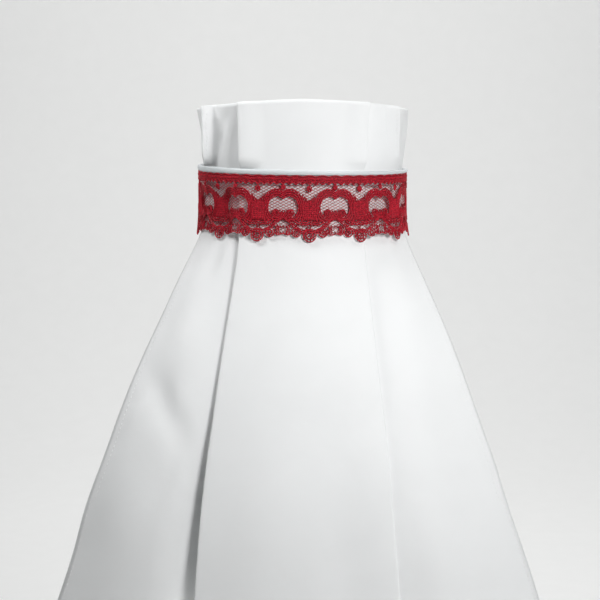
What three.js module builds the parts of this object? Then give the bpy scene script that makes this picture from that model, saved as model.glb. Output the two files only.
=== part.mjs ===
// A ready-tied riding stock: a neck band closed at the back, a front of white cloth that is pleated on the neck and
// flares into a bib on the chest, and a ribbon edged with a satin bead that carries a deep scalloped lace.
// Millimetres, +Z up. The origin is the middle of the neck opening, level with the lower edge of the neck band.
// +X is to the right of someone who looks at the front, and the front faces -Y.

import * as THREE from 'three';
import { mergeVertices } from 'three/addons/utils/BufferGeometryUtils.js';

// the neck that the band fits, as half an ellipse in front and another behind
const NECK = { halfWidth: 55, front: 51, back: 57 };

const CLOTH = 1.0; // one layer of the front's cloth
const LAYER_GAP = 0.5; // between two layers of a pleat
const CLEAR = 0.35; // between two pieces
const FOLD_RADIUS = (CLOTH + LAYER_GAP) / 2;

const BAND = { wall: 1.6, height: 63, flareFrom: 31, rightFlareFrom: 14, flare: 4.4, endAngle: 192, rows: 5, columns: 72 };
const FLAP = { from: -168, to: -128, pad: 1.2 }; // where the outer end of the band leaves the inner end
const PAD = { halfAngle: 9, firstRow: 1, rows: 3, columns: 4 }; // it spans whole rows of the band
// the lace's top edge dips in front by tilt and on the right by roll, and start says which column of the motif is cut
const LACE = { wall: 1.0, width: 36, heading: 5.5, topAtSide: 26.9, tilt: 1.6, roll: 0.6, flare: 2.0 };
const REPEATS = { count: 13, start: 8 };
const LACE_ENDS = { from: -192, to: 162.5 };
const RIBBON = { wall: 0.6, tail: 5.2, bead: 2.8, beadGrowsLeft: 0.7, beadFront: 1.4, columns: 84 };

const radians = THREE.MathUtils.degToRad;
const smooth = THREE.MathUtils.smoothstep;
const lerp = THREE.MathUtils.lerp;
const pleatDepth = 4 * FOLD_RADIUS; // from the middle of the box panel's cloth to the middle of the wing's
const flapLift = BAND.wall + FLAP.pad + 2 * CLEAR;

// A table written as one line of column names and one line a row.
function table(names, rows) {
  return rows.map((row) => Object.fromEntries(names.map((name, k) => [name, row[k]])));
}

// The front's cloth from its top edge to its hem. Each row is one height, and the X and Y values are the box panel's
// own surface: its pleat edges, the outer edges of the wings, and how far forward the middle and the edges lie.
// wrap is the angle of the arc from the middle to an edge, sink is how deep the wing's outer edge lies, and drop is
// how much lower the outer edges end.
const LEVELS = table(
  ['z', 'leftEdge', 'leftPleat', 'rightPleat', 'rightEdge', 'middleY', 'edgeY', 'wrap', 'sink', 'drop'],
  [
    [67.2, -56.8, -35.5, 35.4, 55.8, -56.5, -23.0, 68, 1.0, 3.6],
    [51, -57.2, -35.0, 34.8, 56.4, -56.5, -19.5, 71, 1.6, 1.5],
    [36, -58.2, -34.7, 34.2, 57.6, -56.5, -16.0, 74, 2.6, 0.4],
    [31.5, -58.5, -34.6, 34.0, 58.1, -56.5, -14.9, 75, 2.8, 0.15],
    [27, -58.7, -34.5, 33.8, 58.4, -56.5, -13.8, 76, 3.0, 0],
    [12, -59.0, -35.0, 33.9, 58.8, -56.5, -13.4, 77, 3.0, 0],
    [0, -59.2, -35.4, 34.0, 59.2, -57.0, -14.0, 77, 2.9, 0],
    [-9, -60.7, -35.3, 34.1, 60.8, -58.6, -15.7, 75, 2.5, 0],
    [-20, -65.0, -36.2, 34.9, 64.4, -61.6, -22.6, 70, 2.0, 0],
    [-32, -70.2, -37.8, 36.1, 69.0, -65.2, -31.0, 65, 1.4, 0],
    [-55, -80.0, -41.2, 38.4, 78.4, -74.0, -42.0, 60, 0.8, 0],
    [-80, -91.3, -44.9, 41.0, 87.8, -83.0, -52.0, 57, 0.5, 0],
    [-105, -100.8, -48.2, 43.9, 96.3, -91.0, -60.0, 55, 0.4, 0],
    [-130, -109.5, -51.6, 46.4, 105.0, -98.0, -66.0, 54, 0.4, 0],
    [-155, -118.6, -54.2, 48.1, 112.7, -103.0, -70.0, 53, 0.4, 0],
    [-180, -126.0, -56.2, 50.2, 121.8, -106.0, -72.0, 52, 0.4, 1.5],
    [-206, -135.6, -57.9, 52.5, 131.1, -107.2, -72.5, 52, 0.4, 4.2],
  ],
);
const UNDERLAP = { top: 14, hem: 24 }; // how far the cloth runs back under the box panel
// Towards the hem the pleats open into grooves beside the box panel: how deep, how wide at the ribbon and how much
// wider at the hem.
const GROOVES = { left: { deep: 13, near: 5, wider: 10 }, right: { deep: 2, near: 3, wider: 2 } };
// Above the ribbon the left wing's edge stands forward of the band, and the box panel's left edge stands proud.
const LIP = { width: 16, forward: 17, in: 1.2, from: 27, to: 40 };
const PROUD = { by: 3, from: 29, to: 38 };

// Soft dents and swells of the hanging cloth. along and across are half lengths, turn is the dent's lean from
// upright, and a negative depth is a swell.
const DENTS = table(
  ['x', 'z', 'along', 'across', 'turn', 'depth'],
  [
    [-47, 52, 26, 3.4, -14, 1.0],
    [46, 54, 12, 6, 20, 0.6],
    [-51, -22, 12, 4, -30, 0.9],
    [-66, -62, 22, 9, -18, -1.2],
    [-80, -96, 26, 8, -32, 1.6],
    [-96, -150, 40, 15, -12, -2.4],
    [24, -186, 46, 15, 4, 2.6],
    [-22, -176, 50, 18, -6, -1.4],
    [84, -130, 50, 12, 14, 1.2],
  ],
);

// The lace's figures over half a repeat, as depths below its top edge: from the scallop's tip under a column (0) to
// the middle of a window (0.5). The opening between top and bottom is cut through where open is 1 at both ends.
const MOTIF = table(
  ['share', 'edge', 'netLow', 'netHigh', 'windowLow', 'windowHigh', 'netOpen', 'windowOpen'],
  [
    [0.0, 36.0, 29.2, 27.6, 12.2, 8.2, 0, 1],
    [0.1, 34.2, 29.0, 27.2, 10.2, 8.6, 1, 1],
    [0.2, 32.7, 28.4, 25.8, 17.6, 12.6, 1, 2],
    [0.3, 32.9, 27.6, 25.2, 19.8, 10.8, 1, 2],
    [0.4, 31.4, 27.0, 25.4, 17.6, 10.9, 1, 2],
    [0.5, 31.2, 26.6, 25.2, 17.8, 12.2, 0, 2],
  ],
);

// Builds one closed wall from a grid of places on its outer and inner face. A cell that cell() leaves out is a gap.
function wallGeometry(columns, rows, outer, inner, cell = () => true) {
  const points = [];
  const quad = (a, b, c, d) => [a, b, c, a, c, d].forEach((p) => points.push(p.x, p.y, p.z));
  const there = (i, j) => i >= 0 && j >= 0 && i < columns && j < rows && cell(i, j);
  for (let i = 0; i < columns; i += 1) {
    for (let j = 0; j < rows; j += 1) {
      if (there(i, j)) {
        const [a, b, c, d] = [outer(i, j), outer(i + 1, j), outer(i + 1, j + 1), outer(i, j + 1)];
        const [e, f, g, h] = [inner(i, j), inner(i + 1, j), inner(i + 1, j + 1), inner(i, j + 1)];
        quad(a, b, c, d);
        quad(e, h, g, f);
        if (!there(i, j - 1)) quad(a, e, f, b);
        if (!there(i, j + 1)) quad(d, c, g, h);
        if (!there(i - 1, j)) quad(a, d, h, e);
        if (!there(i + 1, j)) quad(b, f, g, c);
      }
    }
  }
  return closed(points);
}

// Sweeps a closed outline through stations. place(i, k) is corner k of the outline at station i.
function sweptGeometry(stations, outline, place) {
  const points = [];
  const push = (...corners) => corners.forEach((p) => points.push(p.x, p.y, p.z));
  const count = outline.length;
  for (let i = 0; i < stations; i += 1) {
    for (let k = 0; k < count; k += 1) {
      const next = (k + 1) % count;
      const [a, b, c, d] = [place(i, k), place(i + 1, k), place(i + 1, next), place(i, next)];
      push(a, b, c, a, c, d);
    }
  }
  THREE.ShapeUtils.triangulateShape(outline, []).forEach(([a, b, c]) => {
    push(place(0, a), place(0, b), place(0, c));
    push(place(stations, c), place(stations, b), place(stations, a));
  });
  return closed(points);
}

function closed(points) {
  const geometry = new THREE.BufferGeometry();
  geometry.setAttribute('position', new THREE.Float32BufferAttribute(points, 3));
  const merged = mergeVertices(geometry, 1e-4);
  merged.computeVertexNormals();
  return merged;
}

// A place round the neck, out from it by grow. Angle 0 is the middle of the front and 90 the right side.
function roundNeck(angle, grow, z) {
  const turn = radians(angle);
  const depth = Math.cos(turn) > 0 ? NECK.front : NECK.back;
  return new THREE.Vector3((NECK.halfWidth + grow) * Math.sin(turn), -(depth + grow) * Math.cos(turn), z);
}

// The outer end of the band, and what is sewn on it, stands off to pass over the inner end.
function flapAt(angle) {
  return flapLift * (1 - smooth(angle, FLAP.from, FLAP.to));
}

// The band leans out at its top, at the sides and the back, and from lower down on the right.
function bandFlare(angle, z) {
  const side = Math.cos(radians(angle)) > 0 ? Math.sin(radians(angle)) ** 6 : 1;
  const late = side * 2 * smooth(z, BAND.flareFrom, 2 * BAND.height - BAND.flareFrom);
  const early = smooth(z, BAND.rightFlareFrom, BAND.height) * smooth(angle, 76, 90) * smooth(-angle, -122, -92);
  return BAND.flare * Math.max(late, early);
}

function neckBand() {
  const angle = (i) => lerp(-BAND.endAngle, BAND.endAngle, i / BAND.columns);
  const height = (j) => (BAND.height * j) / BAND.rows;
  const face = (out) => (i, j) => {
    const grow = out + flapAt(angle(i)) + bandFlare(angle(i), height(j));
    return roundNeck(angle(i), grow, height(j));
  };
  return wallGeometry(BAND.columns, BAND.rows, face(BAND.wall), face(0));
}

function closingPad() {
  const angle = (i) => 180 + lerp(-PAD.halfAngle, PAD.halfAngle, i / PAD.columns);
  const z = (j) => (BAND.height * (PAD.firstRow + j)) / BAND.rows;
  const face = (out) => (i, j) => roundNeck(angle(i), out + bandFlare(angle(i), z(j)), z(j));
  const near = BAND.wall + CLEAR;
  return wallGeometry(PAD.columns, PAD.rows, face(near + FLAP.pad), face(near));
}

// The arc that one height of the front follows: a place at s along it from the middle, sunk by depth.
function frontArc(level) {
  const wrap = radians(level.wrap);
  const deep = (level.edgeY - level.middleY) / (1 - Math.cos(wrap));
  const steps = 80;
  const side = (edge) => {
    const wide = Math.abs(edge) / Math.sin(wrap);
    const lengths = [0];
    for (let k = 1; k <= steps; k += 1) {
      const turn = (wrap * (k - 0.5)) / steps;
      lengths.push(lengths[k - 1] + Math.hypot(wide * Math.cos(turn), deep * Math.sin(turn)) * (wrap / steps));
    }
    return { wide, lengths };
  };
  const sides = { left: side(level.leftEdge), right: side(level.rightEdge) };
  const pick = (s) => (s < 0 ? sides.left : sides.right);
  const turnAt = (s) => {
    const { lengths } = pick(s);
    const far = Math.abs(s);
    let k = 1;
    while (k < steps && lengths[k] < far) k += 1;
    return (Math.sign(s) * wrap * (k - 1 + (far - lengths[k - 1]) / (lengths[k] - lengths[k - 1]))) / steps;
  };
  const lengthTo = (x) => {
    const { wide, lengths } = pick(x);
    const share = Math.asin(Math.abs(x) / wide) / wrap;
    const k = Math.min(Math.floor(share * steps), steps - 1);
    return lerp(lengths[k], lengths[k + 1], share * steps - k);
  };
  const place = (s, depth) => {
    const turn = turnAt(s);
    const { wide } = pick(s);
    const normal = new THREE.Vector2(deep * Math.sin(turn), -wide * Math.cos(turn)).normalize();
    const x = wide * Math.sin(turn) - depth * normal.x;
    const y = level.middleY + deep * (1 - Math.cos(turn)) - depth * normal.y;
    const across = Math.abs(s) / sides.left.lengths[steps];
    return new THREE.Vector3(x, y, level.z - level.drop * across ** 1.3);
  };
  return { lengthTo, place };
}

// How deep the dents press the cloth at a place seen from the front.
function dentAt(x, z) {
  return DENTS.reduce((sum, dent) => {
    const turn = radians(dent.turn);
    const [dx, dz] = [x - dent.x, z - dent.z];
    const along = (dz * Math.cos(turn) - dx * Math.sin(turn)) / dent.along;
    const across = (dx * Math.cos(turn) + dz * Math.sin(turn)) / dent.across;
    return sum + dent.depth * Math.exp(-(along ** 2) - across ** 2);
  }, 0);
}

// The cloth of one side at one height, from the middle outwards: the box panel, the fold at its edge, the return
// under it, the inner fold and the wing. Each stop has its place along the arc, its depth and how far it is lifted.
function pleatedSide(level, side) {
  const arc = frontArc(level);
  const fold = arc.lengthTo(side.pleat);
  const end = arc.lengthTo(side.edge);
  const down = (LEVELS[0].z - level.z) / (LEVELS[0].z - LEVELS.at(-1).z);
  const r = FOLD_RADIUS;
  const inner = fold - lerp(UNDERLAP.top, UNDERLAP.hem, down);
  const opened = smooth(-level.z, 40, 215) ** 1.5;
  const groove = side.groove.deep * opened;
  const grooveWidth = side.groove.near + side.groove.wider * opened;
  const raised = (s) => side.proud * smooth(s, inner, fold - r);
  const stops = [];
  const add = (s, depth) => {
    const lift = side.lip * THREE.MathUtils.clamp(1 - (end - s) / LIP.width, 0, 1) ** 1.3;
    stops.push({ s, depth, lift });
  };
  const line = (from, to, count, depth, crowd = 1) => {
    for (let k = 1; k <= count; k += 1) {
      const s = lerp(from, to, (k / count) ** crowd);
      add(s, depth(s));
    }
  };
  const bend = (s, depth, way) => {
    for (let k = 1; k <= 3; k += 1) {
      const turn = (Math.PI * k) / 4;
      add(s + way * r * Math.sin(turn), depth - r * Math.cos(turn));
    }
  };
  const wing = (s) => {
    const laid = lerp(pleatDepth, level.sink, smooth(s, fold, Math.min(fold + 26, end)));
    return laid + groove * Math.exp(-(((s - fold) / grooveWidth) ** 2));
  };
  line(0, fold - r, 6, (s) => -raised(s));
  bend(fold - r, r - side.proud, 1);
  line(fold - r, inner, 3, (s) => 2 * r - raised(s));
  bend(inner, 3 * r, -1);
  line(inner, fold, 3, (s) => pleatDepth + groove * smooth(s, inner, fold));
  line(fold, end, 9, wing, 1.6);
  return stops;
}

// A line moved sideways in plan by out, forward where it runs from left to right.
function beside(line, out) {
  const steps = line.slice(1).map((place, k) => {
    return new THREE.Vector2(place.x - line[k].x, place.y - line[k].y).normalize();
  });
  return line.map((place, k) => {
    const after = steps[Math.min(k, steps.length - 1)];
    const along = steps[Math.max(k - 1, 0)].clone().add(after).normalize();
    const reach = out / along.dot(after);
    return new THREE.Vector3(place.x + reach * along.y, place.y - reach * along.x, place.z);
  });
}

function pleatedFront() {
  const sections = LEVELS.map((level) => {
    const arc = frontArc(level);
    const left = pleatedSide(level, {
      pleat: level.leftPleat,
      edge: level.leftEdge,
      groove: GROOVES.left,
      lip: smooth(level.z, LIP.from, LIP.to),
      proud: PROUD.by * smooth(level.z, PROUD.from, PROUD.to),
    });
    const right = pleatedSide(level, {
      pleat: level.rightPleat,
      edge: level.rightEdge,
      groove: GROOVES.right,
      lip: 0,
      proud: 0,
    });
    const mirrored = left.map((stop) => ({ ...stop, s: -stop.s })).reverse();
    const stops = [...mirrored, { s: 0, depth: 0, lift: 0 }, ...right];
    const line = stops.map(({ s, depth, lift }) => {
      const seen = arc.place(s, 0);
      const place = arc.place(s, depth + dentAt(seen.x, level.z));
      place.x -= Math.sign(s) * LIP.in * lift;
      place.y -= LIP.forward * lift;
      return place;
    });
    return { outer: beside(line, CLOTH / 2), inner: beside(line, -CLOTH / 2) };
  }).reverse();
  const columns = sections[0].outer.length - 1;
  return wallGeometry(
    columns,
    sections.length - 1,
    (i, j) => sections[j].outer[i],
    (i, j) => sections[j].inner[i],
  );
}

// How far out the lace lies: over the box panel in front, over the wings at the sides, on the band behind. Below its
// heading it steps down into the left pleat.
function laceGrow(angle, below = 0) {
  const turn = Math.abs(angle);
  const overFront = BAND.wall + pleatDepth + CLOTH + 3 * CLEAR + RIBBON.wall;
  const overWing = overFront - pleatDepth;
  const overBand = overWing - CLOTH;
  const bridged = smooth(turn, 39, 82);
  const stepped = angle < 0 ? Math.max(bridged, smooth(turn, 37, 43)) : bridged;
  const front = lerp(overFront, overWing, lerp(bridged, stepped, smooth(below, LACE.heading, 13)));
  return lerp(front, overBand, smooth(turn, 92, 125)) + flapAt(angle);
}

// The lower edge leans out over the front's cloth, and less so at the sides, least on the left.
function laceFlare(angle) {
  const side = smooth(Math.abs(angle), 62, 88);
  return LACE.flare * (1 - side * (angle < 0 ? 0.5 : 0.35));
}

function laceTop(angle) {
  const turn = radians(angle);
  return LACE.topAtSide - LACE.tilt * Math.cos(turn) - LACE.roll * Math.sin(turn);
}

// The angles that part the lace into equal lengths.
function evenAngles(count) {
  const steps = 720;
  const lengths = [0];
  const angleOf = (k) => lerp(LACE_ENDS.from, LACE_ENDS.to, k / steps);
  const at = (k) => roundNeck(angleOf(k), laceGrow(angleOf(k), LACE.width), 0);
  for (let k = 1; k <= steps; k += 1) lengths.push(lengths[k - 1] + at(k).distanceTo(at(k - 1)));
  const angles = [];
  for (let n = 0, k = 1; n <= count; n += 1) {
    const want = (lengths[steps] * n) / count;
    while (k < steps && lengths[k] < want) k += 1;
    angles.push(angleOf(k - 1 + (want - lengths[k - 1]) / (lengths[k] - lengths[k - 1])));
  }
  return angles;
}

function scallopedLace() {
  const stepsInHalf = MOTIF.length - 1;
  const perRepeat = 2 * stepsInHalf;
  const columns = REPEATS.count * perRepeat;
  const angles = evenAngles(columns);
  const motif = (i) => {
    const k = (i + REPEATS.start) % perRepeat;
    return MOTIF[k <= stepsInHalf ? k : perRepeat - k];
  };
  const rows = ['edge', 'netLow', 'netHigh', 'windowLow', 'windowHigh', 'heading', 'top'];
  const depthOf = (i, j) => ({ heading: LACE.heading, top: 0 })[rows[j]] ?? motif(i)[rows[j]];
  const face = (out) => (i, j) => {
    const depth = depthOf(i, j);
    const low = Math.max(0, 2 * depth / LACE.width - 1);
    const flare = laceFlare(angles[i]) * low ** 2;
    return roundNeck(angles[i], laceGrow(angles[i], depth) + flare + out, laceTop(angles[i]) - depth);
  };
  const cell = (i, j) => {
    const [here, next] = [motif(i), motif(i + 1)];
    if (i === 0 || i === columns - 1) return true;
    if (rows[j] === 'netLow') return !(here.netOpen && next.netOpen);
    if (rows[j] === 'windowLow') return here.windowOpen !== next.windowOpen;
    return true;
  };
  return wallGeometry(columns, rows.length - 1, face(LACE.wall), face(0), cell);
}

// The ribbon's outline: a flat tail behind the lace, and a round bead that shows above it. x is out from the lace's
// inner face and y is up from the lace's top edge. The bead is a little fuller on the left.
function ribbonOutline(angle) {
  const back = -CLEAR - RIBBON.wall;
  const bead = RIBBON.bead - RIBBON.beadGrowsLeft * Math.sin(radians(angle));
  const middle = new THREE.Vector2((back + RIBBON.beadFront) / 2, CLEAR + bead / 2);
  const half = new THREE.Vector2((RIBBON.beadFront - back) / 2, bead / 2);
  const round = [-70, -20, 25, 65, 115, 155].map((degrees) => {
    const turn = radians(degrees);
    return new THREE.Vector2(middle.x + half.x * Math.cos(turn), middle.y + half.y * Math.sin(turn));
  });
  const tail = [
    new THREE.Vector2(back, -RIBBON.tail),
    new THREE.Vector2(-CLEAR, -RIBBON.tail),
    new THREE.Vector2(-CLEAR, CLEAR),
  ];
  return [...tail, ...round, new THREE.Vector2(back, middle.y)];
}

function beadedRibbon() {
  const angle = (i) => lerp(LACE_ENDS.from, LACE_ENDS.to, i / RIBBON.columns);
  const outlines = Array.from({ length: RIBBON.columns + 1 }, (_, i) => ribbonOutline(angle(i)));
  return sweptGeometry(RIBBON.columns, outlines[0], (i, k) => {
    const corner = outlines[i][k];
    return roundNeck(angle(i), laceGrow(angle(i)) + corner.x, laceTop(angle(i)) + corner.y);
  });
}

const whiteCloth = new THREE.MeshStandardMaterial({ color: '#eef0f0', roughness: 0.72, metalness: 0 });
const whiteSatin = new THREE.MeshStandardMaterial({ color: '#dfe5e4', roughness: 0.42, metalness: 0 });
const redLace = new THREE.MeshStandardMaterial({ color: '#a8142b', roughness: 0.62, metalness: 0 });
const whiteTape = new THREE.MeshStandardMaterial({ color: '#e4e5e2', roughness: 0.9, metalness: 0 });

const stock = new THREE.Group();
function add(name, geometry, material) {
  const mesh = new THREE.Mesh(geometry, material);
  mesh.name = name;
  stock.add(mesh);
}

add('neck_band', neckBand(), whiteCloth);
add('closing_pad', closingPad(), whiteTape);
add('pleated_front', pleatedFront(), whiteCloth);
add('beaded_ribbon', beadedRibbon(), whiteSatin);
add('scalloped_lace', scallopedLace(), redLace);

export default stock;
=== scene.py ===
"""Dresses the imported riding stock: its cloth, satin ribbon, lace and closure, and its stage.

Lengths are millimetres. Those of the materials, the settings, the stage and the flat cloth are metres.
+X is to the right of someone who looks at the front, which faces -Y.
"""

import math

import bmesh
import bpy
import numpy as np
from bpy.props import FloatProperty, FloatVectorProperty, IntProperty, PointerProperty
from mathutils import Matrix, Vector


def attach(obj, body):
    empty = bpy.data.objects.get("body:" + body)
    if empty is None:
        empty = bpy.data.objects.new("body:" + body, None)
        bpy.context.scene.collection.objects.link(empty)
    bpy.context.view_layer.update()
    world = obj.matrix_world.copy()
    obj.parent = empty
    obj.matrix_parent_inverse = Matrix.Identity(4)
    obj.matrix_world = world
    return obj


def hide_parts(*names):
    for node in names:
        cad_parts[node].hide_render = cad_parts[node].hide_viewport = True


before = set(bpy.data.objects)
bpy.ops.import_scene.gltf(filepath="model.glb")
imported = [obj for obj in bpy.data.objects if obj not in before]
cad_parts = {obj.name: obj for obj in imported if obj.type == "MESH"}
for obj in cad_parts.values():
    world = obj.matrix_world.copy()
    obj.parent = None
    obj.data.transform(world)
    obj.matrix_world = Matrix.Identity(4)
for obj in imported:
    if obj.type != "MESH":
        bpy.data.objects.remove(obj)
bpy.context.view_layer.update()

bl_info = {
    "name": "Riding stock",
    "version": (1, 0, 0),
    "blender": (4, 5, 0),
    "location": "View3D > Sidebar > Stock",
    "description": "Makes a pleated riding stock with a beaded ribbon and a scalloped lace",
    "category": "Add Mesh",
}

MM = 0.001

# The form that the pieces are laid on. It repeats the solids' own measures.
NECK_HALF, NECK_FRONT, NECK_BACK = 55.0, 51.0, 57.0
BAND_WALL, BAND_HEIGHT, BAND_END, BAND_RIM = 1.6, 63.0, 192.0, 0.45
PAD_LIFT, PAD_WALL, PAD_RIM = 1.2, 1.15, 0.3
CLEAR = 0.35
CLOTH = 1.0
FOLD_RADIUS = 0.75
PLEAT_DEPTH = 4 * FOLD_RADIUS
RIBBON_WALL = 0.6
LACE_WIDTH, LACE_HEADING = 36.0, 5.5
LACE_FROM, LACE_TO = -192.0, 162.5
REPEATS = 13

# The cloth of the band and the ribbon laid flat, and the front's length along its cloth, in metres.
BAND_FLAT, RIBBON_FLAT, FRONT_LENGTH = (0.37, 0.063), (0.37, 0.022), 0.29

# The front's cloth from its top edge to its hem. A row holds the height, the outer edge and the pleat on the
# left, the pleat and the outer edge on the right, where the middle and the edges lie from front to back, the
# angle of the arc, how deep the wings' edges lie below the panel, and how much lower they end.
LEVELS = np.array([
    [67.2, -56.8, -35.5, 35.4, 55.8, -56.5, -23.0, 68, 1.0, 3.6],
    [51, -57.2, -35.0, 34.8, 56.4, -56.5, -19.5, 71, 1.6, 1.5],
    [36, -58.2, -34.7, 34.2, 57.6, -56.5, -16.0, 74, 2.6, 0.4],
    [31.5, -58.5, -34.6, 34.0, 58.1, -56.5, -14.9, 75, 2.8, 0.15],
    [27, -58.7, -34.5, 33.8, 58.4, -56.5, -13.8, 76, 3.0, 0],
    [12, -59.0, -35.0, 33.9, 58.8, -56.5, -13.4, 77, 3.0, 0],
    [0, -59.2, -35.4, 34.0, 59.2, -57.0, -14.0, 77, 2.9, 0],
    [-9, -60.7, -35.3, 34.1, 60.8, -58.6, -15.7, 75, 2.5, 0],
    [-20, -65.0, -36.2, 34.9, 64.4, -61.6, -22.6, 70, 2.0, 0],
    [-32, -70.2, -37.8, 36.1, 69.0, -65.2, -31.0, 65, 1.4, 0],
    [-55, -80.0, -41.2, 38.4, 78.4, -74.0, -42.0, 60, 0.8, 0],
    [-80, -91.3, -44.9, 41.0, 87.8, -83.0, -52.0, 57, 0.5, 0],
    [-105, -100.8, -48.2, 43.9, 96.3, -91.0, -60.0, 55, 0.4, 0],
    [-130, -109.5, -51.6, 46.4, 105.0, -98.0, -66.0, 54, 0.4, 0],
    [-155, -118.6, -54.2, 48.1, 112.7, -103.0, -70.0, 53, 0.4, 0],
    [-180, -126.0, -56.2, 50.2, 121.8, -106.0, -72.0, 52, 0.4, 1.5],
    [-206, -135.6, -57.9, 52.5, 131.1, -107.2, -72.5, 52, 0.4, 4.2],
])[::-1]
TOP, HEM = LEVELS[-1, 0], LEVELS[0, 0]
# How far the cloth runs back under the panel, how far out the wing rises again, and how its edge drops.
UNDERLAP_TOP, UNDERLAP_HEM, WING_RISE, DROP_CURVE = 14.0, 24.0, 26.0, 1.3

# Below the ribbon the pleats open towards the hem: how deep, how wide at first and how much wider at the hem.
GROOVE_LEFT, GROOVE_RIGHT = (13.0, 5.0, 10.0), (0.7, 2.0, 1.0)
OPENS_FROM, OPENS_TO, OPENS_CURVE = 40.0, 215.0, 1.5
# Above it the wings' edges curl forward in a lip: how wide it is, and how far forward and in its edge stands.
# The solid has the left one alone, a little wider.
LIP_LEFT, LIP_RIGHT = (13.0, 16.5, -0.3), (16.0, 9.0, 0.5)
LIP_FROM, LIP_TO, LIP_CURVE = 27.5, 38.0, 1.3
# The panel's folds stand proud there, and the left one lies nearer the middle. The solid has that one alone,
# a little lower.
PROUD_LEFT, PROUD_RIGHT, PROUD_IN = 3.8, 2.4, 1.4
PROUD_FROM, PROUD_TO = 29.2, 33.5

# Hems are doubled at the sides, bottom and top. Between them the wall has a share of its thickness.
SIDE_HEM, LOW_HEM, TOP_HEM, SINGLE = 6.5, 9.0, 3.0, 0.72

# Soft dents in the front's cloth: x, z, half length, half width, lean from upright in degrees, and depth,
# less than 0 for a swell. The first nine are in the solid too.
DENTS = np.array([
    [-47, 52, 26, 3.4, -14, 1.0],
    [46, 54, 12, 6, 20, 0.6],
    [-51, -22, 12, 4, -30, 0.9],
    [-66, -62, 22, 9, -18, -1.2],
    [-80, -96, 26, 8, -32, 1.6],
    [-96, -150, 40, 15, -12, -2.4],
    [24, -186, 46, 15, 4, 2.6],
    [-22, -176, 50, 18, -6, -1.4],
    [84, -130, 50, 12, 14, 1.2],
    [-40.5, 50, 16, 1.6, -12, -0.4],
    [-45, 44, 16, 1.6, -16, -0.35],
    [49, 42, 9, 3.0, -24, -0.35],
    [41, 50, 10, 3.2, 16, -0.3],
    [-8, 48, 16, 9.0, 10, 0.25],
    [16, 44, 14, 8.0, -12, 0.2],
    [-45, -18, 9, 2.6, -12, -0.35],
    [47, -14, 9, 3.0, 18, 0.4],
    [53, -26, 14, 4.0, 30, -0.35],
    [-74, -101, 21, 7.5, 27, 2.0],
    [-92, -104, 12, 3.2, -34, -0.6],
    [-101, -118, 10, 3.0, -30, 0.5],
    [-73, -136, 26, 5.0, -20, 0.6],
    [-66, -170, 30, 6.0, -10, -0.7],
    [66, -90, 34, 7.0, 16, -0.5],
    [98, -150, 28, 7.0, 24, 0.6],
    [70, -178, 30, 9.0, 8, -0.8],
])


def smooth(x, low, high):
    share = np.clip((np.asarray(x, float) - low) / (high - low), 0, 1)
    return share * share * (3 - 2 * share)


def lerp(a, b, share):
    return a + (b - a) * share


def points_of(*parts):
    """Points from their coordinates, each given for every point or once for all."""
    return np.stack(np.broadcast_arrays(*parts), -1)


def run_lengths(points):
    """How far along a run each of its points lies."""
    return np.concatenate([[0], np.cumsum(np.linalg.norm(np.diff(points, axis=0), axis=1))])


def round_neck(angle, grow, z):
    """Places round the neck, out from it by grow. Angle 0 is the front's middle and 90 the right side."""
    turn = np.radians(angle)
    depth = np.where(np.cos(turn) > 0, NECK_FRONT, NECK_BACK)
    x = (NECK_HALF + grow) * np.sin(turn)
    return points_of(x, -(depth + grow) * np.cos(turn), z)


def flap_at(angle):
    """How far out the band's upper end is laid over the pad and the lower end."""
    return (BAND_WALL + PAD_LIFT + 2 * CLEAR) * (1 - smooth(angle, -168, -128))


def band_flare(angle, z):
    """How far the band leans out, behind and beside the front's wings."""
    side = np.where(np.cos(np.radians(angle)) > 0, np.sin(np.radians(angle)) ** 6, 1)
    late = side * 2 * smooth(z, 31, 95)
    early = smooth(z, 14, 63) * smooth(angle, 76, 90) * (1 - smooth(angle, 92, 122))
    return 4.4 * np.maximum(late, early)


def lace_grow(angle, below=0):
    """How far out the lace's inner face lies: over the panel, the wings and, behind, the band."""
    turn = np.abs(angle)
    over_front = BAND_WALL + PLEAT_DEPTH + CLOTH + 3 * CLEAR + RIBBON_WALL
    over_wing = over_front - PLEAT_DEPTH
    bridged = smooth(turn, 39, 82)
    stepped = np.where(np.asarray(angle) < 0, np.maximum(bridged, smooth(turn, 37, 43)), bridged)
    low = lerp(bridged, stepped, smooth(below, LACE_HEADING, 13))
    front = lerp(over_front, over_wing, low)
    return lerp(front, over_wing - CLOTH, smooth(turn, 92, 125)) + flap_at(angle)


def lace_flare(angle):
    """How far out the lace's free edge stands."""
    side = smooth(np.abs(angle), 62, 88)
    return 2.0 * (1 - side * np.where(np.asarray(angle) < 0, 0.5, 0.35))


def lace_top(angle):
    """The height of the lace's top edge, which is lowest in front."""
    turn = np.radians(angle)
    return 26.9 - 1.6 * np.cos(turn) - 0.6 * np.sin(turn)


def lace_lengths():
    """Angles from one end of the lace to the other, and how far along the lace each lies."""
    angles = np.linspace(LACE_FROM, LACE_TO, 721)
    flat = round_neck(angles, lace_grow(angles, LACE_WIDTH), 0.0)
    return angles, run_lengths(flat)


LACE_ANGLES, LACE_LENGTHS = lace_lengths()
LACE_LENGTH = LACE_LENGTHS[-1]
REPEAT = LACE_LENGTH / REPEATS
COLUMN_FROM = 0.2 * REPEAT  # where the first column stands, from the lace's cut end


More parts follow.
